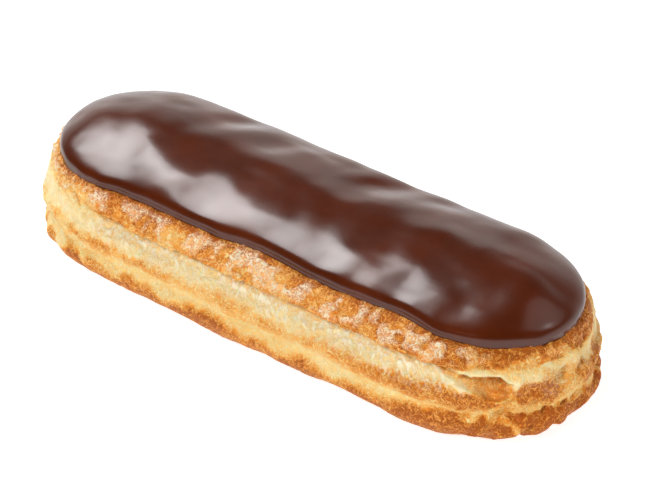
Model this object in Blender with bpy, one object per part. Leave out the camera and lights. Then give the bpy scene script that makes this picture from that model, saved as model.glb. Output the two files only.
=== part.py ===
"""A chocolate eclair: one baked choux bun with its cap of set chocolate icing.

Metres, +Z up. X runs along the bun, and the origin is under its middle, at the base.
The bun is a loft of rings, one above another. Each ring is the bun's outline seen from above,
drawn in by an inset, so the swollen foot, the split along the flank and the upper crust's lip
all come from how the inset changes with height. The icing follows the same upper crust.
"""

import math

import bmesh
import bpy

# Driving dimensions
LENGTH = 0.1346
WIDTH = 0.0491
BUN_HEIGHT = 0.0265
ICING_THICKNESS = 0.0020
CLEARANCE = 0.0003

# The outline from above: straight flanks and drawn-out round ends
HALF_LENGTH = LENGTH / 2
HALF_WIDTH = WIDTH / 2
END_LENGTH = 1.21 * HALF_WIDTH
END_ROUNDNESS = 2.08

# The flank, from the base up
BASE_INSET = 0.0078
FOOT_HEIGHT = 0.0074
FOOT_ROUNDNESS = 2.2
SPLIT_HEIGHT = 0.0178
SPLIT_INSET = 0.0032
SPLIT_DRAW = 1.6

# The upper crust: its lip stands out over the split, and it draws in less at the two ends
LIP_INSET = 0.0024
LIP_RISE = 0.0005
CROWN_END_SHARE = 0.69
# How much the crown is domed above an ellipse, which shows only towards its middle
CROWN_DOME = 0.0011
DOME_POWER = 4

# Swellings along the flank: (height, how far it stands out, half its height)
FLANK_SWELLINGS = (
    (0.0060, 0.0003, 0.0016),
    (0.0120, 0.0007, 0.0017),
    (0.0158, 0.0005, 0.0012),
)

# Uneven baking round the outline: (waves in one lap, depth, phase). Even counts keep the
# bun's box centred on the origin
BAKING_WAVES = (
    (2, 0.00012, 3.2),
    (4, 0.00018, 2.1),
    (10, 0.00014, 4.0),
)

# The torn hollow in the flank: (x, y) on the outline, its height and its size
HOLLOW_PLACE = (0.0544, -0.0202)
HOLLOW_HEIGHT = 0.0158
HOLLOW_HALF_LENGTH = 0.0048
HOLLOW_HALF_HEIGHT = 0.0017
HOLLOW_DEPTH = 0.0020

# The icing's edge, as an angle up the crown: 0 at the lip, a quarter turn at the top
ICING_EDGE_ANGLE = math.radians(34)
ICING_EDGE_ROUND = 0.16
# Where it ran lower before it set, or stopped short: ((x, y) on the outline, drop in degrees,
# radius)
ICING_RUNS = (
    ((0.066, -0.004), 8, 0.012),
    ((0.058, -0.018), 1.5, 0.008),
    ((0.032, -0.0245), -4, 0.009),
    ((0.002, -0.0245), -4, 0.009),
    ((-0.055, -0.020), 7, 0.016),
    ((0.060, 0.016), 7, 0.014),
    ((-0.020, 0.024), 7, 0.014),
    ((0.024, 0.024), 5, 0.010),
)

# Points along each flank and round each end: a flank's points face the other flank's
FLANK_POINTS = 22
END_POINTS = 23
POINTS_ROUND = 2 * (FLANK_POINTS + END_POINTS)
FLANK_SHARE = FLANK_POINTS / POINTS_ROUND
FOOT_LEVELS = 6
FLANK_LEVELS = 11
CROWN_LEVELS = 8
ICING_LEVELS = 9

COLLECTION_NAME = "chocolate_eclair"
CRUST_COLOUR = (0.72, 0.40, 0.14, 1.0)
ICING_COLOUR = (0.060, 0.017, 0.008, 1.0)
QUARTER_TURN = math.pi / 2


def clear_scene():
    for obj in list(bpy.data.objects):
        bpy.data.objects.remove(obj, do_unlink=True)


def signed_power(value, power):
    return math.copysign(abs(value) ** power, value)


def bell(distance, half_width):
    return math.exp(-((distance / half_width) ** 2))


def outline_place(lap):
    """Where a share of one lap falls: (turn of the end's curve, slide along the flank)."""
    half, share = divmod(lap % 1.0, 0.5)
    side = 1 if half == 0 else -1
    if share < FLANK_SHARE:
        return -side * QUARTER_TURN, side * (2 * share / FLANK_SHARE - 1)
    turned = (share - FLANK_SHARE) / (0.5 - FLANK_SHARE)
    return -side * QUARTER_TURN + math.pi * turned, side


def outline_point(lap, inset, end_inset):
    """The outline's (x, y) at this share of a lap from the -X end of the -Y flank."""
    turn, slide = outline_place(lap)
    half_width = max(HALF_WIDTH - inset, 0.0)
    end_length = END_LENGTH * half_width / HALF_WIDTH
    straight = HALF_LENGTH - end_inset - end_length
    x = slide * straight + end_length * signed_power(math.cos(turn), 2 / END_ROUNDNESS)
    return x, half_width * signed_power(math.sin(turn), 2 / END_ROUNDNESS)


def baking_wave(lap):
    return sum(
        depth * math.sin(2 * math.pi * count * lap + phase)
        for count, depth, phase in BAKING_WAVES
    )


def flank_inset(height):
    """How far the flank stands in from the outline at a height up to the split."""
    if height < FOOT_HEIGHT:
        below = 1 - height / FOOT_HEIGHT
        inset = BASE_INSET * (1 - math.sqrt(1 - below**FOOT_ROUNDNESS))
    else:
        rise = (height - FOOT_HEIGHT) / (SPLIT_HEIGHT - FOOT_HEIGHT)
        inset = SPLIT_INSET * rise**SPLIT_DRAW
    for centre, out, half_height in FLANK_SWELLINGS:
        inset -= out * bell(height - centre, half_height)
    return inset


def hollow_inset(lap, height):
    """The torn hollow's extra inset."""
    x, y = outline_point(lap, 0.0, 0.0)
    away = math.dist((x, y), HOLLOW_PLACE)
    along = bell(away, HOLLOW_HALF_LENGTH)
    up = bell(height - HOLLOW_HEIGHT, HOLLOW_HALF_HEIGHT)
    return HOLLOW_DEPTH * along * up


def crown_section(angle):
    """The upper crust in section, as (inset, height): 0 is its lip, a quarter turn its top."""
    lip_height = SPLIT_HEIGHT + LIP_RISE
    rise = BUN_HEIGHT - CROWN_DOME - lip_height
    inset = LIP_INSET + (HALF_WIDTH - LIP_INSET) * (1 - math.cos(angle))
    height = lip_height + rise * math.sin(angle) + CROWN_DOME * math.sin(angle) ** DOME_POWER
    return inset, height


def crown_outward(angle):
    """The unit direction out of the upper crust in section, as (inset, height)."""
    dome = CROWN_DOME * DOME_POWER * math.sin(angle) ** (DOME_POWER - 1)
    run = (HALF_WIDTH - LIP_INSET) * math.sin(angle)
    rise = (BUN_HEIGHT - CROWN_DOME - SPLIT_HEIGHT - LIP_RISE + dome) * math.cos(angle)
    size = math.hypot(run, rise)
    return -rise / size, run / size


def ring_point(lap, inset, height):
    """A point of the surface, with the crown's longer ends and the uneven baking put in."""
    share = 1 - min(inset / HALF_WIDTH, 1.0)
    wave = share * baking_wave(lap)
    past_lip = max(inset - LIP_INSET, 0.0) if height > SPLIT_HEIGHT else 0.0
    end_inset = inset - (1 - CROWN_END_SHARE) * past_lip
    x, y = outline_point(lap, inset - wave, end_inset - wave)
    return x, y, height


def loft(mesh, rings):
    """Quads between each ring and the next. Returns the rings as vertices."""
    rows = [[mesh.verts.new(point) for point in points] for points in rings]
    for low, high in zip(rows, rows[1:]):
        for i in range(POINTS_ROUND):
            j = (i + 1) % POINTS_ROUND
            mesh.faces.new((low[i], low[j], high[j], high[i]))
    return rows


def finish_mesh(mesh, name, colour, roughness):
    """Closes the crown along its ridge line, and makes the object with its material."""
    bmesh.ops.remove_doubles(mesh, verts=mesh.verts, dist=1e-6)
    bmesh.ops.dissolve_degenerate(mesh, dist=1e-7, edges=mesh.edges)
    bmesh.ops.recalc_face_normals(mesh, faces=mesh.faces)
    data = bpy.data.meshes.new(name)
    mesh.to_mesh(data)
    mesh.free()
    data.shade_smooth()
    data.set_sharp_from_angle(angle=math.radians(50))
    material = bpy.data.materials.new(name)
    material.use_nodes = True
    shader = material.node_tree.nodes["Principled BSDF"]
    shader.inputs["Base Color"].default_value = colour
    shader.inputs["Roughness"].default_value = roughness
    shader.inputs["Metallic"].default_value = 0.0
    data.materials.append(material)
    obj = bpy.data.objects.new(name, data)
    bpy.data.collections[COLLECTION_NAME].objects.link(obj)
    return obj


def make_choux_bun(laps):
    """The baked bun: flat base, swollen foot, flank, split and upper crust."""
    heights = [FOOT_HEIGHT * (i / FOOT_LEVELS) ** 1.5 for i in range(FOOT_LEVELS)]
    flank = SPLIT_HEIGHT - FOOT_HEIGHT
    heights += [FOOT_HEIGHT + flank * i / FLANK_LEVELS for i in range(FLANK_LEVELS + 1)]
    rings = [
        [ring_point(lap, flank_inset(z) + hollow_inset(lap, z), z) for lap in laps]
        for z in heights
    ]
    for i in range(CROWN_LEVELS + 1):
        inset, height = crown_section(QUARTER_TURN * i / CROWN_LEVELS)
        rings.append([ring_point(lap, inset, height) for lap in laps])
    mesh = bmesh.new()
    rows = loft(mesh, rings)
    mesh.faces.new(rows[0][::-1])
    return finish_mesh(mesh, "choux_bun", CRUST_COLOUR, roughness=0.65)


def icing_edge(lap):
    """The angle up the crown where the icing ends."""
    place = outline_point(lap, 0.0, 0.0)
    drops = (
        math.radians(drop) * bell(math.dist(place, centre), radius)
        for centre, drop, radius in ICING_RUNS
    )
    return ICING_EDGE_ANGLE - sum(drops)


def icing_point(lap, share, outer):
    """A point of the icing at a share of the way from its edge to the top."""
    edge = icing_edge(lap)
    angle = edge + (QUARTER_TURN - edge) * share
    out = CLEARANCE
    if outer:
        rounding = min(share / ICING_EDGE_ROUND, 1.0)
        out += ICING_THICKNESS * math.sqrt(1 - (1 - rounding) ** 2)
    inset, height = crown_section(angle)
    across, up = crown_outward(angle)
    return ring_point(lap, inset + across * out, height + up * out)


def make_chocolate_icing(laps):
    """The set icing: a cap of even thickness with a rounded edge, lying on the upper crust."""
    shares = [(i / ICING_LEVELS) ** 1.7 for i in range(ICING_LEVELS + 1)]
    inner = [[icing_point(lap, share, False) for lap in laps] for share in reversed(shares)]
    outer = [[icing_point(lap, share, True) for lap in laps] for share in shares[1:]]
    mesh = bmesh.new()
    loft(mesh, inner + outer)
    return finish_mesh(mesh, "chocolate_icing", ICING_COLOUR, roughness=0.2)


clear_scene()
bpy.context.scene.collection.children.link(bpy.data.collections.new(COLLECTION_NAME))
laps_round = [(i + 0.5) / POINTS_ROUND for i in range(POINTS_ROUND)]
make_choux_bun(laps_round)
make_chocolate_icing(laps_round)
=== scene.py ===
"""A chocolate eclair on a white table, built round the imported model. Metres, +Z up."""

import itertools
import math

import bmesh
import bpy
import numpy as np
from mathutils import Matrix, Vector


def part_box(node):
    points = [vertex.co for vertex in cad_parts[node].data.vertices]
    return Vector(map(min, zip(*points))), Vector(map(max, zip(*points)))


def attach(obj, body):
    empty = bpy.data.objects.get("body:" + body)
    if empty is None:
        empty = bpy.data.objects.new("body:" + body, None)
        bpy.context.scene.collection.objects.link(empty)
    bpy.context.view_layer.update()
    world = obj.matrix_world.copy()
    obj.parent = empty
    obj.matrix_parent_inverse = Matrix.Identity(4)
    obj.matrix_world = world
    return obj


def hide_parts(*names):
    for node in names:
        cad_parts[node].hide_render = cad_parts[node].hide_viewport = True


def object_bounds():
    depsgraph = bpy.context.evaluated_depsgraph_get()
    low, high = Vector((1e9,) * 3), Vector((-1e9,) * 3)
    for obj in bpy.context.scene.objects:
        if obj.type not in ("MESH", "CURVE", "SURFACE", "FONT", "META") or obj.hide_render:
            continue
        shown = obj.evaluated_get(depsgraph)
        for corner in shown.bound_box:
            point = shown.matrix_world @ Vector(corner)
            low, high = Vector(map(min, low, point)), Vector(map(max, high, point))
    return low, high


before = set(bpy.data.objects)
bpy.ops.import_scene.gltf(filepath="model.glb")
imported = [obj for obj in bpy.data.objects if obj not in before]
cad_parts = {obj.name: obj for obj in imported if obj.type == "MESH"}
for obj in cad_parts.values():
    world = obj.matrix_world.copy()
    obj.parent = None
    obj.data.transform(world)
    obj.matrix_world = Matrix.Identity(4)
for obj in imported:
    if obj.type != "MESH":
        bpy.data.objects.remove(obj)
cad_low, cad_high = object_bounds()

# ---------------------------------------------------------------------------------------------
# The studio: a white acrylic light table, a wide soft lamp overhead to the left, a soft fill from
# the front and a dim panel over the right end. The wall behind is lit and the room above and in
# front is dim, so that the icing mirrors a pale horizon under a dark ceiling.
VIEW_AZIMUTH = math.radians(38.3)
VIEW_ELEVATION = math.radians(34.4)
VIEW_DISTANCE = 0.533
AIM = Vector((0.0023, 0.0018, 0.0147))
LENS_MM = 144
FILM_MM = 36
CLIP_START = 0.01


def facing(direction):
    """The rotation of a lamp or camera that looks along a direction."""
    return direction.to_track_quat("-Z", "Y").to_euler()


look = Vector(
    (
        -math.sin(VIEW_AZIMUTH) * math.cos(VIEW_ELEVATION),
        math.cos(VIEW_AZIMUTH) * math.cos(VIEW_ELEVATION),
        -math.sin(VIEW_ELEVATION),
    )
)
camera_data = bpy.data.cameras.new("camera")
camera_data.lens = LENS_MM
camera_data.sensor_width = FILM_MM
camera_data.clip_start = CLIP_START
camera = bpy.data.objects.new("camera", camera_data)
camera.location = AIM - VIEW_DISTANCE * look
camera.rotation_euler = facing(look)
bpy.context.scene.collection.objects.link(camera)
bpy.context.scene.camera = camera
bpy.context.scene.view_settings.view_transform = "Standard"

TABLE_SIDE = 8.0
TABLE_WHITE = (0.50, 0.50, 0.50, 1.0)
TABLE_GLOW = 0.85
UNDER_BASE = 0.0001
bpy.ops.mesh.primitive_plane_add(size=TABLE_SIDE, location=(0, 0, cad_low.z - UNDER_BASE))
table = bpy.context.object
table.name = "table"
table_paint = bpy.data.materials.new("table_white")
table_paint.use_nodes = True
table_shader = table_paint.node_tree.nodes["Principled BSDF"]
table_shader.inputs["Base Color"].default_value = TABLE_WHITE
table_shader.inputs["Roughness"].default_value = 0.8
table_shader.inputs["Specular IOR Level"].default_value = 0.2
table_shader.inputs["Emission Color"].default_value = (1.0, 1.0, 1.0, 1.0)
table_shader.inputs["Emission Strength"].default_value = TABLE_GLOW
table.data.materials.append(table_paint)

# Lamps: (name, where it stands from the eclair, distance, width, height, glow, seen in gloss)
# Glow is how many times brighter than a white page the lamp itself looks.
LAMPS = (
    ("overhead_softbox", (-0.60, 0.17, 0.78), 0.70, 0.26, 0.36, 9.0, True),
    ("softbox_heart", (-0.60, 0.17, 0.78), 0.69, 0.10, 0.16, 3.5, True),
    ("front_fill", (0.04, -0.69, 0.72), 0.90, 0.36, 0.30, 15.8, False),
    ("right_fill", (0.88, -0.10, 0.46), 0.90, 0.30, 0.30, 4.0, False),
    ("right_panel", (0.38, 0.46, 0.80), 0.70, 0.36, 0.36, 0.75, True),
    ("panel_heart", (0.50, 0.42, 0.76), 0.66, 0.06, 0.05, 7.0, True),
)
for name, place, distance, width, height, glow, in_gloss in LAMPS:
    lamp_data = bpy.data.lights.new(name, "AREA")
    lamp_data.shape = "RECTANGLE"
    lamp_data.size = width
    lamp_data.size_y = height
    lamp_data.energy = glow * math.pi * width * height
    lamp = bpy.data.objects.new(name, lamp_data)
    lamp.location = Vector(place).normalized() * distance
    lamp.rotation_euler = facing(-Vector(place))
    lamp.visible_glossy = in_gloss
    bpy.context.scene.collection.objects.link(lamp)

# The room's glow by how high one looks, and its share by how far back: (sine, brightness)
ROOM_BY_HEIGHT = ((0.0, 1.8), (0.16, 1.0), (0.34, 0.85), (0.48, 0.12), (1.0, 0.04))
ROOM_BY_DEPTH = ((0.0, 0.10), (0.45, 0.16), (0.65, 0.90), (1.0, 1.0))
ROOM_TINT = (1.0, 0.95, 0.91, 1.0)
world = bpy.data.worlds.new("studio")
bpy.context.scene.world = world
world.use_nodes = True
nodes, links = world.node_tree.nodes, world.node_tree.links


def ramp(stops, source):
    """A colour ramp through (position, brightness or colour) stops, fed by a socket."""
    node = nodes.new("ShaderNodeValToRGB")
    while len(node.color_ramp.elements) < len(stops):
        node.color_ramp.elements.new(0.5)
    for stop, (position, colour) in zip(node.color_ramp.elements, stops):
        stop.position = position
        stop.color = (colour,) * 3 + (1.0,) if isinstance(colour, float) else (*colour, 1.0)
    links.new(source, node.inputs["Fac"])
    return node.outputs["Color"]


def math_node(operation, *values):
    """A Math node of numbers or sockets."""
    node = nodes.new("ShaderNodeMath")
    node.operation = operation
    for socket, value in zip(node.inputs, values):
        if isinstance(value, (int, float)):
            socket.default_value = value
        else:
            links.new(value, socket)
    return node.outputs[0]


direction = nodes.new("ShaderNodeSeparateXYZ")
links.new(nodes.new("ShaderNodeTexCoord").outputs["Generated"], direction.inputs["Vector"])
# How far back one looks, from -1 to 1, as a share from 0 to 1
depth = math_node("MULTIPLY_ADD", direction.outputs["Y"], 0.5, 0.5)
by_height = ramp(ROOM_BY_HEIGHT, direction.outputs["Z"])
glow = math_node("MULTIPLY", by_height, ramp(ROOM_BY_DEPTH, depth))
links.new(glow, nodes["Background"].inputs["Strength"])
nodes["Background"].inputs["Color"].default_value = ROOM_TINT

# ---------------------------------------------------------------------------------------------
# The choux bun: piped paste that swelled and split in the oven. The upper crust browned first and
# was lifted off the flank, which stretched open pale under it; the swollen roll at mid height and
# the foot on the tray browned too. It is one baked shell, here one closed mesh.
_, bun_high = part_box("choux_bun")
SWELL_ROOM = 0.0004
HALF_LENGTH = bun_high.x - SWELL_ROOM
HALF_WIDTH = bun_high.y - SWELL_ROOM
BUN_HEIGHT = bun_high.z
END_LENGTH = 1.21 * HALF_WIDTH
END_ROUNDNESS = 2.08
LIP_INSET = 0.0024
LIP_HEIGHT = 0.0183
CROWN_END_SHARE = 0.69
CROWN_DOME = 0.0011
DOME_POWER = 4
QUARTER_TURN = math.pi / 2

# Columns run up the bun, levels run round it
BUN_COLUMNS = 860
BUN_BASE_LEVELS = 6
BUN_CROWN_LEVELS = 5

# The flank in section, from the base up: name, how far it stands in from the outline, its
# height, and the levels up to the next place
FLANK_SECTION = (
    ("base_edge", 0.0084, 0.0000, 4),
    ("foot_underside", 0.0050, 0.0007, 7),
    ("foot", 0.0016, 0.0032, 10),
    ("foot_nose", 0.0003, 0.0058, 9),
    ("groove", 0.0013, 0.0087, 6),
    ("roll_underside", 0.0007, 0.0101, 8),
    ("roll_nose", 0.0001, 0.0120, 8),
    ("roll_top", 0.0011, 0.0138, 7),
    ("stretch", 0.0028, 0.0154, 8),
    ("crease_floor", 0.0043, 0.0171, 5),
    ("lip_underside", 0.0026, 0.0177, 6),
    ("lip_nose", 0.0017, 0.0185, 10),
    ("shoulder", 0.0031, 0.0206, 11),
    ("under_icing", 0.0060, 0.0222, 5),
)
PLACES = {name: i for i, (name, *_) in enumerate(FLANK_SECTION)}

# Where the icing ends on the crown: an angle up it, lower where the icing ran before it set and
# higher where it stopped short, as ((x, y) on the outline, drop in degrees, radius)
ICING_EDGE_ANGLE = math.radians(34)
ICING_RUNS = (
    ((0.066, -0.004), 8, 0.012),
    ((0.058, -0.018), 1.5, 0.008),
    ((0.032, -0.0245), -4, 0.009),
    ((0.002, -0.0245), -4, 0.009),
    ((-0.055, -0.020), 7, 0.016),
    ((0.060, 0.016), 7, 0.014),
    ((-0.020, 0.024), 7, 0.014),
    ((0.024, 0.024), 5, 0.010),
)


# The lattice of random slopes behind every grain: its first draw, its cells each way, and how
# far apart two seeds read it
LATTICE_DRAW = 97
LATTICE_CELLS = 64
SEED_STEP = np.array((17.3, 5.1, 11.7))


def lumps(points, size, seed):
    """Smooth random swellings about `size` across, from -1 to 1, the same on every run."""
    lattice = (LATTICE_CELLS, LATTICE_CELLS, LATTICE_CELLS, 3)
    slopes = np.random.default_rng(LATTICE_DRAW).normal(size=lattice)
    at = points / size + SEED_STEP * seed
    cell = np.floor(at).astype(int)
    part = at - cell
    fade = part * part * (3 - 2 * part)
    total = np.zeros(points.shape[:-1])
    for corner in itertools.product((0, 1), repeat=3):
        index = (cell + corner) % LATTICE_CELLS
        slope = slopes[index[..., 0], index[..., 1], index[..., 2]]
        weight = np.where(corner, fade, 1 - fade).prod(axis=-1)
        total += weight * (slope * (part - corner)).sum(axis=-1)
    return total


def grain(points, octaves):
    """A random grain of several sizes at once, as (strength, size, seed) from coarse to fine."""
    return sum(strength * lumps(points, size, seed) for strength, size, seed in octaves)


def ease(value, start, end):
    """0 before start, 1 after end, and a smooth change between them."""
    share = np.clip((value - start) / (end - start), 0, 1)
    return share * share * (3 - 2 * share)


def bell(away, half_width):
    """1 at no distance away, fading smoothly past the half width."""
    return np.exp(-((away / half_width) ** 2))


def signed_power(value, power):
    """A power of the size, with the value's own sign."""
    return np.copysign(np.abs(value) ** power, value)


def outline_at(turn, slide, inset, end_inset):
    """(x, y) of the bun's outline, drawn in by an inset."""
    half_width = np.maximum(HALF_WIDTH - inset, 0.0)
    end_length = END_LENGTH * half_width / HALF_WIDTH
    straight = HALF_LENGTH - end_inset - end_length
    x = slide * straight + end_length * signed_power(np.cos(turn), 2 / END_ROUNDNESS)
    return x, half_width * signed_power(np.sin(turn), 2 / END_ROUNDNESS)


def even_columns(count):
    """Turn and slide of evenly spaced places round the outline, from the -X end of the near
    flank towards +X."""
    fine = 4000
    sweep = np.linspace(-1, 1, fine, endpoint=False)
    turn = np.concatenate([np.full(fine, -1.0), sweep, np.full(fine, 1.0), sweep + 2])
    slide = np.concatenate([sweep, np.ones(fine), -sweep, -np.ones(fine)])
    turn = turn * QUARTER_TURN
    x, y = outline_at(turn, slide, 0.0, 0.0)
    steps = np.hypot(np.diff(x, append=x[0]), np.diff(y, append=y[0]))
    length = np.concatenate([[0], np.cumsum(steps)])
    wanted = (np.arange(count) + 0.5) / count * length[-1]
    spot = np.interp(wanted, length, np.arange(len(length)))
    turn = np.append(turn, 3 * QUARTER_TURN)
    slide = np.append(slide, -1.0)
    ticks = np.arange(len(turn))
    return np.interp(spot, ticks, turn), np.interp(spot, ticks, slide)


def skin_points(turn, slide, inset, height, crown):
    """Points of the bun's skin. The crown draws in less at the two ends than along the sides."""
    past_lip = np.maximum(inset - LIP_INSET, 0.0) * crown
    end_inset = inset - (1 - CROWN_END_SHARE) * past_lip
    x, y = outline_at(turn, slide, inset, end_inset)
    return np.stack([x, y, np.broadcast_to(height, x.shape)], axis=-1)


def crown_section(angle):
    """The upper crust in section, as (inset, height): 0 is its lip, a quarter turn its top."""
    inset = LIP_INSET + (HALF_WIDTH - LIP_INSET) * (1 - np.cos(angle))
    rise = (BUN_HEIGHT - CROWN_DOME - LIP_HEIGHT) * np.sin(angle)
    return inset, LIP_HEIGHT + rise + CROWN_DOME * np.sin(angle) ** DOME_POWER


def icing_edge(x, y):
    """The angle up the crown where the icing ends, beside a place on the outline."""
    edge = np.full(x.shape, ICING_EDGE_ANGLE)
    for (run_x, run_y), drop, radius in ICING_RUNS:
        edge -= math.radians(drop) * bell(np.hypot(x - run_x, y - run_y), radius)
    return edge


def through(stations, steps):
    """A smooth line through stations, an array of (station, column, value)."""
    padded = np.concatenate([stations[:1], stations, stations[-1:]])
    rows = []
    for i, count in enumerate(steps[: len(stations) - 1]):
        before, start, end, after = padded[i : i + 4]
        for share in np.arange(count) / count:
            straight = start + (end - before) * share / 2
            square = (2 * before - 5 * start + 4 * end - after) * share**2 / 2
            cube = (3 * start - before - 3 * end + after) * share**3 / 2
            rows.append(straight + square + cube)
    rows.append(stations[-1])
    return np.stack(rows)


def outward(points):
    """The unit direction out of a surface of (level, column) points that closes round."""
    up = np.gradient(points, axis=0)
    along = np.roll(points, -1, axis=1) - np.roll(points, 1, axis=1)
    normal = np.cross(along, up)
    return normal / np.maximum(np.linalg.norm(normal, axis=-1, keepdims=True), 1e-12)


WELD = 2e-6
SLIVER = 1e-7


def closed_skin(name, points, marks):
    """An object of (level, column) points whose first and last levels close on a line. Marks
    are named values for each point, which its material reads."""
    levels, columns = points.shape[:2]
    index = np.arange(levels * columns).reshape(levels, columns)
    right = np.roll(index, -1, axis=1)
    corners = (index[:-1], right[:-1], right[1:], index[1:])
    faces = np.stack(corners, axis=-1).reshape(-1, 4)
    data = bpy.data.meshes.new(name)
    data.from_pydata(points.reshape(-1, 3), [], faces)
    for mark, values in marks.items():
        layer = data.attributes.new(mark, "FLOAT", "POINT")
        layer.data.foreach_set("value", np.clip(values, 0, 1).astype(np.float32).ravel())
    mesh = bmesh.new()
    mesh.from_mesh(data)
    bmesh.ops.remove_doubles(mesh, verts=mesh.verts, dist=WELD)
    bmesh.ops.dissolve_degenerate(mesh, dist=SLIVER, edges=mesh.edges)
    bmesh.ops.recalc_face_normals(mesh, faces=mesh.faces)
    mesh.to_mesh(data)
    mesh.free()
    data.shade_smooth()
    obj = bpy.data.objects.new(name, data)
    bpy.context.scene.collection.objects.link(obj)
    return obj


turn, slide = even_columns(BUN_COLUMNS)
rim_x, rim_y = outline_at(turn, slide, 0.0, 0.0)
rim = np.stack([rim_x, rim_y, np.zeros(BUN_COLUMNS)], axis=-1)
near = rim_y < 0

# The split shows along the flanks and dies out towards the two ends: x where it starts, is fully
# open, starts to close and is closed
SPLIT_NEAR = (-0.042, -0.036, 0.044, 0.056)
SPLIT_FAR = (-0.048, -0.038, 0.034, 0.046)
split = np.where(
    near,
    ease(rim_x, *SPLIT_NEAR[:2]) * (1 - ease(rim_x, *SPLIT_NEAR[2:])),
    ease(rim_x, *SPLIT_FAR[:2]) * (1 - ease(rim_x, *SPLIT_FAR[2:])),
)
# Distances from the middle over which the two ends, and the browner right half, come in
RIGHT_END = (0.046, 0.060)
LEFT_END = (0.034, 0.052)
RIGHT_HALF = (0.015, 0.052)
right_end = ease(rim_x, *RIGHT_END)
left_end = ease(-rim_x, *LEFT_END)
ends = np.maximum(right_end, left_end)
more_right = ease(rim_x, *RIGHT_HALF)

stations = np.array([(inset, height) for _, inset, height, _ in FLANK_SECTION])
stations = np.repeat(stations[:, None, :], BUN_COLUMNS, axis=1)


def shift(place, inset=0.0, height=0.0):
    """Moves a named place of the flank, by as much as is given for each column."""
    stations[PLACES[place], :, 0] += inset
    stations[PLACES[place], :, 1] += height


# Nothing that rose in an oven is straight: each band wanders in, out, up and down. (place, how
# far in and out, how far up and down, size of a wave)
HEIGHT_SEED = 20
for place, inset_wander, height_wander, size in (
    ("foot", 0.0003, 0.0002, 0.016),
    ("foot_nose", 0.0003, 0.0005, 0.014),
    ("groove", 0.0003, 0.0006, 0.018),
    ("roll_underside", 0.0003, 0.0004, 0.015),
    ("roll_nose", 0.0002, 0.0006, 0.017),
    ("roll_top", 0.0003, 0.0005, 0.012),
    ("stretch", 0.0004, 0.0003, 0.010),
):
    seed = PLACES[place]
    wander_in = inset_wander * lumps(rim, size, seed)
    wander_up = height_wander * lumps(rim, size, HEIGHT_SEED + seed)
    shift(place, wander_in, wander_up)

# The split climbs towards +X on the near side, and its lip is ragged. At the two ends, where it
# didn't split, the crust runs down smoothly in folds
CLIMB = 0.0008
CLIMBS_FROM_TO = (-0.02, 0.045)
RAGGED_UP = ((0.0005, 0.0065, 31), (0.00022, 0.0020, 32))
RAGGED_OUT = ((0.0003, 0.005, 33), (0.00012, 0.0018, 34))
# How far each place is drawn in where nothing split, and its share of the climb and the raggedness
UNSPLIT = {"stretch": -0.0013, "crease_floor": -0.0024, "lip_underside": -0.0004, "lip_nose": 0.0006}
CLIMB_SHARE = {"stretch": 0.5, "crease_floor": 1.0, "lip_underside": 1.0, "lip_nose": 0.7}
RAGGED_SHARE = {"stretch": 0.0, "crease_floor": 0.0, "lip_underside": 1.0, "lip_nose": 0.7}
climb = CLIMB * ease(rim_x, *CLIMBS_FROM_TO) * near
ragged = grain(rim, RAGGED_UP)
ragged_out = grain(rim, RAGGED_OUT)
for place, drawn_in in UNSPLIT.items():
    on_lip = RAGGED_SHARE[place] > 0
    shift(
        place,
        inset=drawn_in * (1 - split) + ragged_out * on_lip,
        height=CLIMB_SHARE[place] * climb + RAGGED_SHARE[place] * ragged,
    )

flank = through(stations, [steps for *_, steps in FLANK_SECTION])
flank_levels = np.concatenate(
    [i + np.arange(steps) / steps for i, (*_, steps) in enumerate(FLANK_SECTION[:-1])]
    + [[len(FLANK_SECTION) - 1]]
)
crown = np.repeat(
    (flank_levels[:, None] >= PLACES["lip_nose"]).astype(float), BUN_COLUMNS, axis=1
)
flank_points = skin_points(turn, slide, flank[..., 0], flank[..., 1], crown)

base_inset = np.linspace(HALF_WIDTH, FLANK_SECTION[0][1], BUN_BASE_LEVELS, endpoint=False)
base_inset = np.repeat(base_inset[:, None], BUN_COLUMNS, axis=1)
base_points = skin_points(turn, slide, base_inset, 0.0, 0.0)

top_inset = FLANK_SECTION[-1][1]
top_angle = math.acos(1 - (top_inset - LIP_INSET) / (HALF_WIDTH - LIP_INSET))
angles = np.linspace(top_angle, QUARTER_TURN, BUN_CROWN_LEVELS + 1)[1:]
crown_inset, crown_height = crown_section(np.repeat(angles[:, None], BUN_COLUMNS, axis=1))
crown_points = skin_points(turn, slide, crown_inset, crown_height, 1.0)

# Each level's place on the flank, counted in the steps of FLANK_SECTION: the base lies below
# them all and the crown above them all
skin = np.concatenate([base_points, flank_points, crown_points])
place = np.concatenate(
    [
        np.full(BUN_BASE_LEVELS, -1.0),
        flank_levels,
        np.full(BUN_CROWN_LEVELS, float(len(FLANK_SECTION))),
    ]
)[:, None]
height = skin[..., 2]

# The baked bands have ragged edges, and more so round the two ends. The roll's and the foot's
# reach higher in the browner right half
BAND_DRIFT = ((1.2, 0.0058, 14), (0.7, 0.0023, 15))
ROLL_REACHES = 0.8
FOOT_REACHES = 0.5
band_place = place + (0.30 + 0.90 * ends) * grain(skin, BAND_DRIFT)


def band(start, peak, end):
    """1 at a named place of the flank, and 0 at the places before and after it."""
    rise = ease(band_place, PLACES[start], PLACES[peak])
    return rise * (1 - ease(band_place, PLACES[peak], PLACES[end]))


def line(name, above, half_width):
    """1 along a line some way above a named place, in the steps of FLANK_SECTION."""
    return bell(place - PLACES[name] - above, half_width)


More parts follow.
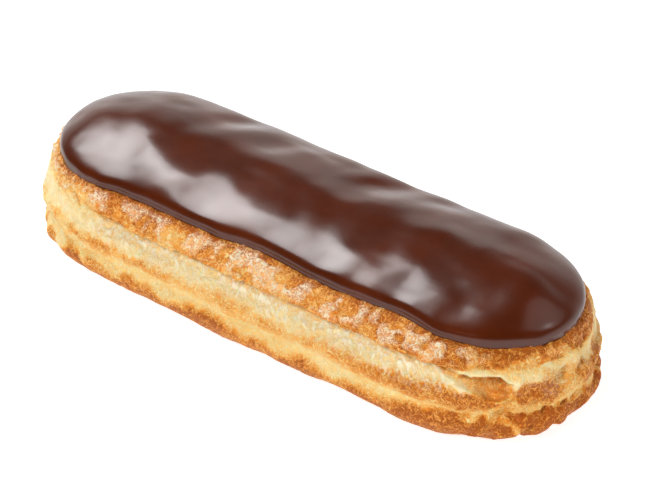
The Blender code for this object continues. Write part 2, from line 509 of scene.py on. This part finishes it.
above_roll = ease(
    band_place - ROLL_REACHES * more_right, PLACES["roll_nose"], PLACES["roll_top"]
)
roll_band = ease(band_place, PLACES["groove"], PLACES["roll_nose"]) * (1 - above_roll)
above_foot = ease(
    band_place - FOOT_REACHES * more_right, PLACES["foot_nose"] - 0.1, PLACES["groove"] - 0.4
)
foot_band = 1 - above_foot
stretch_band = band("roll_nose", "stretch", "lip_underside")
lip_band = ease(band_place, PLACES["crease_floor"] + 0.5, PLACES["lip_underside"] + 0.5)
visible = ease(place, PLACES["base_edge"], PLACES["foot_underside"])
visible = visible * (1 - ease(place, PLACES["under_icing"], PLACES["under_icing"] + 0.9))
below_icing = crown_section(icing_edge(rim_x, rim_y))[1] - height

# Torn hollows under the lip near the right end, with ragged mouths and smooth floors: (middle,
# half length, half height, depth). Both run the same way, and tilt
HOLLOWS = (
    ((0.0560, -0.0171, 0.0156), 0.0054, 0.0020, 0.0033),
    ((0.0500, -0.0197, 0.0170), 0.0030, 0.0009, 0.0012),
)
HOLLOW_RUNS = (0.93, 0.36, -0.30)
HOLLOW_TILT = 0.20
TORN_MOUTH = ((0.24, 0.0024, 40), (0.14, 0.0011, 41))
# As shares of the way from a hollow's middle to its mouth: where its floor ends and its skin
# starts, its raised rim's middle and half width, and how far off it is felt at all
MOUTH_EDGE = (0.74, 1.0)
RIM_MIDDLE = 1.16
RIM_HALF_WIDTH = 0.16
HOLLOW_REACH = 2.1
FAR_OFF = 9.0
hollow, hollow_rim, sunk = np.zeros((3, *height.shape))
for middle, half_length, half_height, depth in HOLLOWS:
    away = skin - middle
    along = away @ np.array(HOLLOW_RUNS)
    up = away[..., 2] + HOLLOW_TILT * along
    mouth = np.hypot(along / half_length, up / half_height) + grain(skin, TORN_MOUTH)
    mouth[np.linalg.norm(away, axis=-1) > HOLLOW_REACH * half_length] = FAR_OFF
    inside = 1 - ease(mouth, *MOUTH_EDGE)
    hollow = np.maximum(hollow, inside)
    hollow_rim = np.maximum(hollow_rim, bell(mouth - RIM_MIDDLE, RIM_HALF_WIDTH))
    sunk = np.maximum(sunk, depth * inside)

# Folded, torn skin low on the right end: sunk pockets between paler folds, coloured darker, partly
# as browning and partly as painted shade in the pockets
FOLD_STRETCH = (1.0, 1.0, 0.75)
FOLDS = ((1.0, 0.0044, 42),)
FINE_FOLDS = ((0.35, 0.0020, 43),)
FOLD_ZONE = (0.048, 0.060)
POCKET_EDGE = (0.16, 0.55)
fold_zone = right_end * band("base_edge", "foot_nose", "roll_nose") * ease(rim_x, *FOLD_ZONE)
folds = grain(skin * FOLD_STRETCH, FOLDS) + grain(skin, FINE_FOLDS)
pockets = ease(np.abs(folds), *POCKET_EDGE) * fold_zone

# Floury flakes on the lip, parted by fine cracks
FLAKE_STRETCH = (1.0, 1.0, 1.15)
FLAKES = ((1.0, 0.0034, 44),)
FINE_FLAKES = ((0.45, 0.0015, 45),)
FLAKE_EDGE = (-0.16, 0.10)
CRACKED_PLACES = ((1.0, 0.0060, 46),)
CRACKED_EDGE = (-0.5, 0.2)
CRACK_AT = -0.12
CRACK_HALF_WIDTH = 0.11
flakes = grain(skin * FLAKE_STRETCH, FLAKES) + grain(skin, FINE_FLAKES)
flake = ease(flakes, *FLAKE_EDGE)
flake_zone = lip_band * (1 - 0.8 * right_end)
crack = bell(flakes - CRACK_AT, CRACK_HALF_WIDTH) * lip_band
crack = crack * ease(grain(skin, CRACKED_PLACES), *CRACKED_EDGE)
# Small pits where the skin of the two ends burst
PITS = ((1.0, 0.0034, 16),)
PIT_EDGE = (0.34, 0.50)
pit = ease(grain(skin, PITS), *PIT_EDGE) * ends * (1 - fold_zone)

# Stretched dough: a web of fine threads that lean, in the open split
THREAD_LEAN = 0.45
THREADS = ((1.0, 0.0017, 47),)
FINE_THREADS = ((1.0, 0.0010, 48),)
THREAD_HALF_WIDTH = 0.22
FINE_THREAD_HALF_WIDTH = 0.25
lean = [skin[..., 0] + THREAD_LEAN * height, skin[..., 1], THREAD_LEAN * height]
lean = np.stack(lean, axis=-1)
threads = bell(grain(lean, THREADS), THREAD_HALF_WIDTH)
threads += 0.6 * bell(grain(lean, FINE_THREADS), FINE_THREAD_HALF_WIDTH)
opened = 0.3 + 0.7 * split
meal = grain(skin, ((1.0, 0.0015, 49),))
fine_meal = grain(skin, ((1.0, 0.0008, 50),))

# The foot spread unevenly on its tray: (x, how far out)
FOOT_SPREAD = (
    (-0.067, 0.0004),
    (-0.030, 0.0006),
    (0.000, 0.0005),
    (0.015, 0.0001),
    (0.030, -0.0002),
    (0.044, 0.0001),
    (0.058, 0.0005),
    (0.067, 0.0006),
)
SPREAD_HEIGHT = 0.0050
spread = np.interp(rim_x, *zip(*FOOT_SPREAD))

# All that stands out of the skin, or is sunk in it below nought: how far, and its shape
SWOLLEN = ((0.00034, 0.0105, 9), (0.00020, 0.0048, 10))
END_FOLDS = ((1.0, 0.0068, 51),)
SMALL_END_FOLDS = ((1.0, 0.0036, 52),)
mealy_places = 0.35 + 0.8 * roll_band + 0.9 * lip_band
normals = outward(skin)
relief = grain(skin, SWOLLEN)
for how_far, shape in (
    (0.0006, grain(skin, END_FOLDS) * right_end * (1 - 0.7 * lip_band)),
    (0.0004, grain(skin, SMALL_END_FOLDS) * ends),
    (-0.0005, pit),
    (0.00018, meal * mealy_places),
    (0.00012, fine_meal * mealy_places),
    (0.00034, (threads - 0.5) * stretch_band * opened),
    (0.00022, flake * flake_zone),
    (-0.00025, crack),
    (0.00040, hollow_rim),
    (-1.0, sunk),
    (1.0, spread * bell(height - SPREAD_HEIGHT, SPREAD_HEIGHT)),
    (-0.0013, pockets),
):
    relief += how_far * shape
skin = skin + normals * (relief * visible)[..., None]
skin[..., 2] = np.maximum(skin[..., 2], 0.0)

# How far each place browned, from 0, pale, to 1, nearly burnt, with painted shade added in the
# crease, under the icing, in the hollows, in the pockets and between the raised meal. The flanks
# browned in bands, and the two ends, where the skin folded, in patches with clear edges
PALE_DOUGH = 0.15
PATCHES = ((1.0, 0.0062, 11), (0.45, 0.0024, 12), (0.22, 0.0011, 13))
PATCH_EDGE = (-0.16, 0.20)
BASE_BROWNS = (0.0008, 0.0062)
UNDER_ICING_BROWN_AND_SHADE = 0.0010
patches = grain(skin, PATCHES)
patch = ease(patches, *PATCH_EDGE)
patchiness = 0.35 + 0.30 * ends
banded = (0.38 + 0.20 * more_right) * roll_band
banded += (0.42 + 0.06 * more_right - 0.24 * left_end) * lip_band
browning_and_shade = PALE_DOUGH + banded * (1 - patchiness + patchiness * patch)
for how_much, shape in (
    (0.10, right_end),
    (-0.09, stretch_band),
    (0.76 + 0.16 * more_right, foot_band * (0.75 + 0.25 * patch)),
    (0.08, patches * (1 - stretch_band)),
    # painted shade: the raised meal is paler and the low spots between it darker
    (-0.05, meal + fine_meal),
    # painted shade: an amber line in the crease, where the lip shades the stretched dough
    (0.34, line("crease_floor", 0.40, 0.70) * split),
    (0.12, line("lip_underside", 0.40, 0.50) * split),
    (0.20, crack),
    # partly browning, partly painted shade: the sunk pockets are coloured darker
    (0.24, pockets),
    (0.20, pit),
    (-0.24, hollow_rim),
    (0.30, 1 - ease(height, *BASE_BROWNS)),
    # partly browning, partly painted shade: the crust just under the icing's edge is darker
    (0.42, bell(below_icing, UNDER_ICING_BROWN_AND_SHADE) * lip_band),
):
    browning_and_shade += how_much * shape
# Where the right end browned more, or less below nought: (x, y, z) and radius in millimetres, and
# how much
MM = 0.001
BROWNED_PATCHES = (
    ((64.5, -7.0, 13.0), 3.6, 0.26),
    ((66.5, 2.5, 11.5), 3.8, 0.26),
    ((58.7, -12.5, 21.0), 2.4, 0.26),
    ((64.0, 1.5, 20.0), 3.6, 0.24),
    ((61.5, 10.0, 18.0), 3.2, 0.24),
    ((62.5, -7.5, 18.0), 2.0, -0.26),
)
PATCH_RAGGED = 0.0012
PATCH_RAGGED_SIZE = 0.0030
PATCH_RAGGED_SEEDS = (71, 72, 73)
jitter = [lumps(skin, PATCH_RAGGED_SIZE, seed) for seed in PATCH_RAGGED_SEEDS]
ragged_skin = skin + PATCH_RAGGED * np.stack(jitter, axis=-1)
for middle, radius, how_much in BROWNED_PATCHES:
    away = np.linalg.norm(ragged_skin - np.array(middle) * MM, axis=-1)
    browning_and_shade += how_much * (1 - ease(away, 0.5 * radius * MM, radius * MM))
# The foot, and the crust beside the icing where browning and painted shade under the icing's edge
# add up, may go nearly burnt, and the rest not so far
MOST_BROWNED = 0.80
BURNT_MORE = 0.15
HOLLOW_TONE_AND_SHADE = 0.42
most = MOST_BROWNED + BURNT_MORE * np.maximum(foot_band, bell(below_icing, UNDER_ICING_BROWN_AND_SHADE))
browning_and_shade = np.minimum(browning_and_shade, most)
# The hollows' floors are pulled to an amber tone, partly the dough's own colour and partly painted
# shade in the recess
browning_and_shade += (HOLLOW_TONE_AND_SHADE - browning_and_shade) * 0.8 * hollow

# Flour lies on the lip's flakes, short of the icing, with a trace of it elsewhere
CLEAR_OF_ICING = (0.0003, 0.0010)
TRACE_OF_FLOUR = 0.05
LEFT_END_FLOUR = 0.12
floury = flake * flake_zone * ease(below_icing, *CLEAR_OF_ICING)
floury = floury * ease(band_place, PLACES["lip_nose"] + 0.1, PLACES["shoulder"] - 0.1)
floury += TRACE_OF_FLOUR * np.maximum(np.maximum(lip_band, roll_band), foot_band)
floury += LEFT_END_FLOUR * left_end * lip_band
floury = floury * (1 - 0.5 * right_end)
# The stretched dough in the split and the floor of each hollow are silky
open_dough = stretch_band * opened
open_dough *= 1 - ease(place, PLACES["crease_floor"] - 0.7, PLACES["crease_floor"])
silky = np.clip(open_dough + hollow, 0, 1)
# Where the near-white thread colour goes: partly pale threads of dough, partly painted highlights on
# the wet fibres
pale_threads_and_glints = (0.6 + 0.4 * np.clip(threads, 0, 1)) * open_dough * (1 - hollow)

bun = closed_skin(
    "choux_bun_baked",
    skin,
    {"browning_and_shade": browning_and_shade, "floury": floury, "silky": silky, "threads": pale_threads_and_glints},
)

# Baked crust: pale egg yellow through gold and orange brown to dark brown, matt and mealy, and
# silky where the dough stretched
CRUST_COLOURS = (
    (0.00, (0.97, 0.79, 0.44)),
    (0.20, (0.94, 0.64, 0.24)),
    (0.42, (0.88, 0.45, 0.105)),
    (0.62, (0.80, 0.32, 0.042)),
    (0.82, (0.67, 0.21, 0.018)),
    (1.00, (0.42, 0.100, 0.007)),
)
FLOUR_COLOUR = (0.94, 0.79, 0.58, 1.0)
# painted highlight, in part: the near-white colour of the threads stands partly for glints on wet
# dough
THREAD_AND_GLINT_COLOUR = (1.0, 0.91, 0.70, 1.0)
# Its fine grains: spots a metre, detail, roughness
SPECKLES = (1900, 2, 0.5)
CRUMBS = (900, 3, 0.6)
MOTTLES = (320, 3, 0.6)
WRINKLES = (820, 1.5, 0.6)
FIBRES = (1350, 2, 0.6)
WRINKLES_CURL = 1.2
FIBRES_CURL = 0.5
crust = bpy.data.materials.new("choux_crust")
crust.use_nodes = True
nodes, links = crust.node_tree.nodes, crust.node_tree.links
shader = nodes["Principled BSDF"]
shader.inputs["Specular IOR Level"].default_value = 0.18
shader.inputs["Subsurface Weight"].default_value = 0.50
shader.inputs["Subsurface Radius"].default_value = (1.0, 0.70, 0.45)
shader.inputs["Subsurface Scale"].default_value = 0.0009


def mark_of(name):
    """The socket of one of the mesh's marks."""
    node = nodes.new("ShaderNodeAttribute")
    node.attribute_name = name
    return node.outputs["Fac"]


def noise(scale, detail, roughness, place, curled=0.0):
    """A Noise texture's 0 to 1 value, at a number of spots a metre."""
    node = nodes.new("ShaderNodeTexNoise")
    node.inputs["Distortion"].default_value = curled
    node.inputs["Scale"].default_value = scale
    node.inputs["Detail"].default_value = detail
    node.inputs["Roughness"].default_value = roughness
    links.new(place, node.inputs["Vector"])
    return node.outputs["Fac"]


def bump(height, strength, distance):
    """The normal of a surface raised by a height socket, at most a distance."""
    node = nodes.new("ShaderNodeBump")
    node.inputs["Strength"].default_value = strength
    node.inputs["Distance"].default_value = distance
    links.new(height, node.inputs["Height"])
    return node.outputs["Normal"]


def colour_mix(share, first, second):
    """A colour between a socket and a second socket or colour."""
    node = nodes.new("ShaderNodeMix")
    node.data_type = "RGBA"
    share_in, _, _, _, _, _, first_in, second_in = node.inputs[:8]
    links.new(share, share_in)
    links.new(first, first_in)
    if isinstance(second, tuple):
        second_in.default_value = second
    else:
        links.new(second, second_in)
    return node.outputs[2]


where = nodes.new("ShaderNodeTexCoord").outputs["Object"]
speckle = noise(*SPECKLES, where)
crumbs = noise(*CRUMBS, where)
mottle = noise(*MOTTLES, where)
# Fine curled ridges, like wrinkled skin, painted paler than the crust between them: partly paler
# crust, partly painted highlights where the ridges catch the light
RIDGE_SHARPNESS = 14.0
wrinkle = math_node("SUBTRACT", noise(*WRINKLES, where, WRINKLES_CURL), 0.5)
ridge = math_node("MULTIPLY_ADD", math_node("ABSOLUTE", wrinkle), -RIDGE_SHARPNESS, 1.0)
ridge = math_node("MAXIMUM", ridge, 0.0)
# How much each grain changes the browning, before browner crust shows it more. The speckles and
# crumbs that the bump raises are painted paler and the low spots between them darker, as painted
# shade; the clouds differ at random
FLECK_TONE_AND_SHADE = 0.60
CRUMB_TONE_AND_SHADE = 0.35
MOTTLE_BROWNS = 0.30
RIDGE_PAINTED_HIGHLIGHT = -0.52
EVEN_BROWNS = 0.15
browned_and_shaded = mark_of("browning_and_shade")
grainy = math_node("MULTIPLY_ADD", math_node("MINIMUM", browned_and_shaded, 0.5), 1.7, 0.15)
fleck_and_shade = math_node("MULTIPLY", math_node("SUBTRACT", 0.5, speckle), FLECK_TONE_AND_SHADE)
blotch_and_shade = math_node("MULTIPLY", math_node("SUBTRACT", 0.55, crumbs), CRUMB_TONE_AND_SHADE)
cloud = math_node("MULTIPLY", math_node("SUBTRACT", mottle, 0.5), MOTTLE_BROWNS)
variation = math_node("ADD", math_node("ADD", fleck_and_shade, blotch_and_shade), cloud)
variation = math_node("ADD", variation, EVEN_BROWNS)
variation = math_node("MULTIPLY_ADD", ridge, RIDGE_PAINTED_HIGHLIGHT, variation)
tone = math_node("MULTIPLY_ADD", variation, grainy, browned_and_shaded)
baked = ramp(CRUST_COLOURS, tone)
# Flour catches on the ridges and the speckles; on the ridges it stands partly for painted highlights
FLOUR_AND_GLINT_ON_RIDGES = 1.15
FLOUR_ON_SPECKLES = 0.45
flour_grain = math_node("MULTIPLY", speckle, FLOUR_ON_SPECKLES)
flour_grain = math_node("MULTIPLY_ADD", ridge, FLOUR_AND_GLINT_ON_RIDGES, flour_grain)
flour_share = math_node("MULTIPLY", mark_of("floury"), flour_grain)
dusted = colour_mix(flour_share, baked, FLOUR_COLOUR)
# Wet fibres that lean across the stretched dough, coloured near white: partly the dough's paler
# threads, partly painted highlights on the wet fibres
FIBRE_LEAN = math.radians(-32)
FIBRE_STRETCH = (1.0, 1.0, 3.2)
FIBRE_CONTRAST = 9.0
FIBRE_CUT = -4.1
MOST_FIBRE = 0.9
leaning = nodes.new("ShaderNodeMapping")
leaning.vector_type = "TEXTURE"
leaning.inputs["Rotation"].default_value = (0.0, FIBRE_LEAN, 0.0)
leaning.inputs["Scale"].default_value = FIBRE_STRETCH
links.new(where, leaning.inputs["Vector"])
fibres = noise(*FIBRES, leaning.outputs["Vector"], FIBRES_CURL)
fibres = math_node("MULTIPLY_ADD", fibres, FIBRE_CONTRAST, FIBRE_CUT)
fibres = math_node("MINIMUM", math_node("MAXIMUM", fibres, 0.0), MOST_FIBRE)
thread_share = math_node("MULTIPLY", mark_of("threads"), fibres)
coloured = colour_mix(thread_share, dusted, THREAD_AND_GLINT_COLOUR)
links.new(coloured, shader.inputs["Base Color"])
# Crust is matt, and its meal stands up. Silky dough is glossier and smoother
CRUST_MATT = 0.42
SILKY_MATT = -0.32
SPECKLE_MATT = 0.35
RIDGE_RISES = 0.90
CRUMB_RISES = 1.1
THREAD_RISES = 1.3
SILKY_FLATTENS = -0.75
MEAL_STRENGTH = 0.8
MEAL_HEIGHT = 0.0003
silkiness = mark_of("silky")
matt = math_node("MULTIPLY_ADD", silkiness, SILKY_MATT, CRUST_MATT)
matt = math_node("MULTIPLY_ADD", speckle, SPECKLE_MATT, matt)
links.new(matt, shader.inputs["Roughness"])
raised = math_node("MULTIPLY_ADD", crumbs, CRUMB_RISES, speckle)
raised = math_node("MULTIPLY_ADD", ridge, RIDGE_RISES, raised)
flattened = math_node("MULTIPLY_ADD", silkiness, SILKY_FLATTENS, 1.0)
raised = math_node("MULTIPLY", raised, flattened)
raised = math_node("MULTIPLY_ADD", thread_share, THREAD_RISES, raised)
links.new(bump(raised, MEAL_STRENGTH, MEAL_HEIGHT), shader.inputs["Normal"])
bun.data.materials.append(crust)
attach(bun, "root")
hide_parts("choux_bun")

# ---------------------------------------------------------------------------------------------
# The chocolate icing: the bun's crown dipped in warm icing. It settled into a thick cap with a
# rounded edge, ran lower in a few places, and set glossy, with the swells and hollows of a coat
# that stiffened while it still flowed.
_, icing_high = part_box("chocolate_icing")
GAP_UNDER_ICING = 0.0003
ICING_THICKNESS = icing_high.z - BUN_HEIGHT - GAP_UNDER_ICING
ICING_COLUMNS = 700
# The rounded edge in section: how far up the crust from the edge, how far out of the crust, and
# the levels up to the next place
EDGE_SECTION = (
    (0.0020, -0.0006, 3),
    (0.0004, -0.0005, 5),
    (-0.0002, -0.0001, 6),
    (0.0002, 0.0006, 7),
    (0.0006, 0.0013, 8),
    (0.0014, 0.00185, 7),
    (0.0029, 0.0020, 4),
    (0.0052, 0.0020, 1),
)
ICING_TOP_LEVELS = 60
ICING_UNDER_LEVELS = 4

# Swells, and hollows below nought, in millimetres: name, (x, y), half length, half width, turn
# in degrees, height
SWELLS = (
    ("left_ridge", (-38, -3), 12, 6, -45, 0.60),
    ("left_near_hollow", (-44, -15), 9, 6, 0, -0.45),
    ("left_near_swell", (-28, -12.5), 8, 4.5, 0, 0.42),
    ("left_end_hollow", (-54, 4), 10, 5.5, 60, -0.65),
    ("second_near_hollow", (-15, -12), 8, 5, 0, -0.32),
    ("near_swell", (-4, -11), 7, 4, 0, 0.20),
    ("third_near_hollow", (11, -12), 7, 5, 0, -0.29),
    ("second_near_swell", (20.5, -11), 5, 3.5, 0, 0.16),
    ("right_near_hollow", (34, -12), 8, 6, 0, -0.44),
    ("right_near_swell", (28, -15.5), 4, 3, 0, 0.16),
    ("right_ridge", (32, 2), 11, 5, 5, 0.42),
    ("right_shoulder_dip", (45, -7), 5, 8, -10, -0.20),
    ("right_near_dip", (48.5, -11.5), 9, 4.5, 65, -0.50),
    ("right_end_hollow", (59, 4.5), 5, 4, 0, -0.55),
    ("first_far_hollow", (-30, 13.5), 7.5, 4, 60, -0.76),
    ("second_far_hollow", (-16, 11.5), 7, 4.5, 60, -0.70),
    ("third_far_hollow", (1, 8), 9.5, 5, -40, -0.74),
    ("fourth_far_hollow", (11.5, 13.5), 8, 4.5, 55, -0.90),
    ("fifth_far_hollow", (25, 17), 5, 4, 60, -0.45),
    ("far_swell", (42, 16.5), 6, 5, 0, 0.60),
    ("far_crown", (16, 19.5), 24, 5, 0, 0.50),
    ("middle_settle", (0, -3), 45, 6, 0, -0.16),
)
# The swells start from here, measured along the crust from the icing's edge
SWELLS_START = (-0.0004, 0.0014)
# Random grains, as (strength, size, seed): how the edge wanders, and the small lumps on top
EDGE_WANDER = ((0.00025, 0.006, 50), (0.0002, 0.012, 51))
SMALL_LUMPS = ((0.00009, 0.0050, 61), (0.00023, 0.0085, 64))
SECTION_STEPS = 2000

turn, slide = even_columns(ICING_COLUMNS)
rim_x, rim_y = outline_at(turn, slide, 0.0, 0.0)
rim = np.stack([rim_x, rim_y, np.zeros(ICING_COLUMNS)], axis=-1)
fine_angles = np.linspace(0, QUARTER_TURN, SECTION_STEPS)
fine_inset, fine_height = crown_section(fine_angles)
fine_steps = np.hypot(np.diff(fine_inset), np.diff(fine_height))
fine_length = np.concatenate([[0], np.cumsum(fine_steps)])
edge_length = np.interp(icing_edge(rim_x, rim_y), fine_angles, fine_length)
edge_length += grain(rim, EDGE_WANDER)


def over_crust(along, out):
    """Points a distance along the crust from its lip, and a distance out of it."""
    inset = np.interp(along, fine_length, fine_inset)
    height = np.interp(along, fine_length, fine_height)
    run = np.interp(along, fine_length, np.gradient(fine_inset, fine_length))
    rise = np.interp(along, fine_length, np.gradient(fine_height, fine_length))
    return skin_points(turn, slide, inset - out * rise, height + out * run, 1.0)


edge = np.array([(along, out) for along, out, _ in EDGE_SECTION])
edge = np.repeat(edge[:, None, :], ICING_COLUMNS, axis=1)
edge = through(edge, [steps for *_, steps in EDGE_SECTION])
edge_along = edge_length + edge[..., 0]
top_share = np.linspace(0, 1, ICING_TOP_LEVELS + 1)[1:, None]
top_along = edge_along[-1] + (fine_length[-1] - edge_along[-1]) * top_share
under_share = np.linspace(1, 0, ICING_UNDER_LEVELS, endpoint=False)[:, None]
under_along = edge_along[0] + (fine_length[-1] - edge_along[0]) * under_share
along = np.concatenate([under_along, edge_along, top_along])
out = np.concatenate(
    [
        np.full(under_along.shape, EDGE_SECTION[0][1]),
        edge[..., 1],
        np.full(top_along.shape, ICING_THICKNESS),
    ]
)
icing_skin = over_crust(along, out)
from_edge = along - edge_length
on_top = ease(from_edge, *SWELLS_START)
on_top[:ICING_UNDER_LEVELS] = 0
swell = np.zeros(along.shape)
for _, (x, y), half_length, half_width, degrees, rise in SWELLS:
    lean = math.radians(degrees)
    away_x, away_y = icing_skin[..., 0] - x * MM, icing_skin[..., 1] - y * MM
    lengthways = away_x * math.cos(lean) + away_y * math.sin(lean)
    sideways = away_y * math.cos(lean) - away_x * math.sin(lean)
    swell += rise * MM * bell(lengthways, half_length * MM) * bell(sideways, half_width * MM)
swell += grain(icing_skin, SMALL_LUMPS)
icing_skin[..., 2] += swell * on_top
# The first and last levels close on the ridge line
icing_skin[-1, :, 1] = 0
icing_skin[0, :, 1] = 0

icing = closed_skin("chocolate_icing_set", icing_skin, {})
set_chocolate = bpy.data.materials.new("set_chocolate")
set_chocolate.use_nodes = True
nodes, links = set_chocolate.node_tree.nodes, set_chocolate.node_tree.links
shader = nodes["Principled BSDF"]
shader.inputs["IOR"].default_value = 1.5
# Cocoa and sugar settle a little unevenly: slightly redder and darker clouds, a few places that
# set less glossy, and a faint ripple
ICING_DARK = (0.062, 0.0100, 0.0018)
ICING_LIGHT = (0.090, 0.0152, 0.0034)
ICING_STOPS = ((0.35, ICING_DARK), (0.65, ICING_LIGHT))
CLOUDS = (70, 3, 0.55)
DULL_PLACES = (160, 2, 0.5)
RIPPLES = (420, 1, 0.4)
GLOSSIEST = 0.15
DULLING = 0.12
RIPPLE_STRENGTH = 0.25
RIPPLE_HEIGHT = 0.00006
where = nodes.new("ShaderNodeTexCoord").outputs["Object"]
links.new(ramp(ICING_STOPS, noise(*CLOUDS, where)), shader.inputs["Base Color"])
dulled = math_node("MULTIPLY_ADD", noise(*DULL_PLACES, where), DULLING, GLOSSIEST)
links.new(dulled, shader.inputs["Roughness"])
ripple = bump(noise(*RIPPLES, where), RIPPLE_STRENGTH, RIPPLE_HEIGHT)
links.new(ripple, shader.inputs["Normal"])
icing.data.materials.append(set_chocolate)
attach(icing, "root")
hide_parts("chocolate_icing")
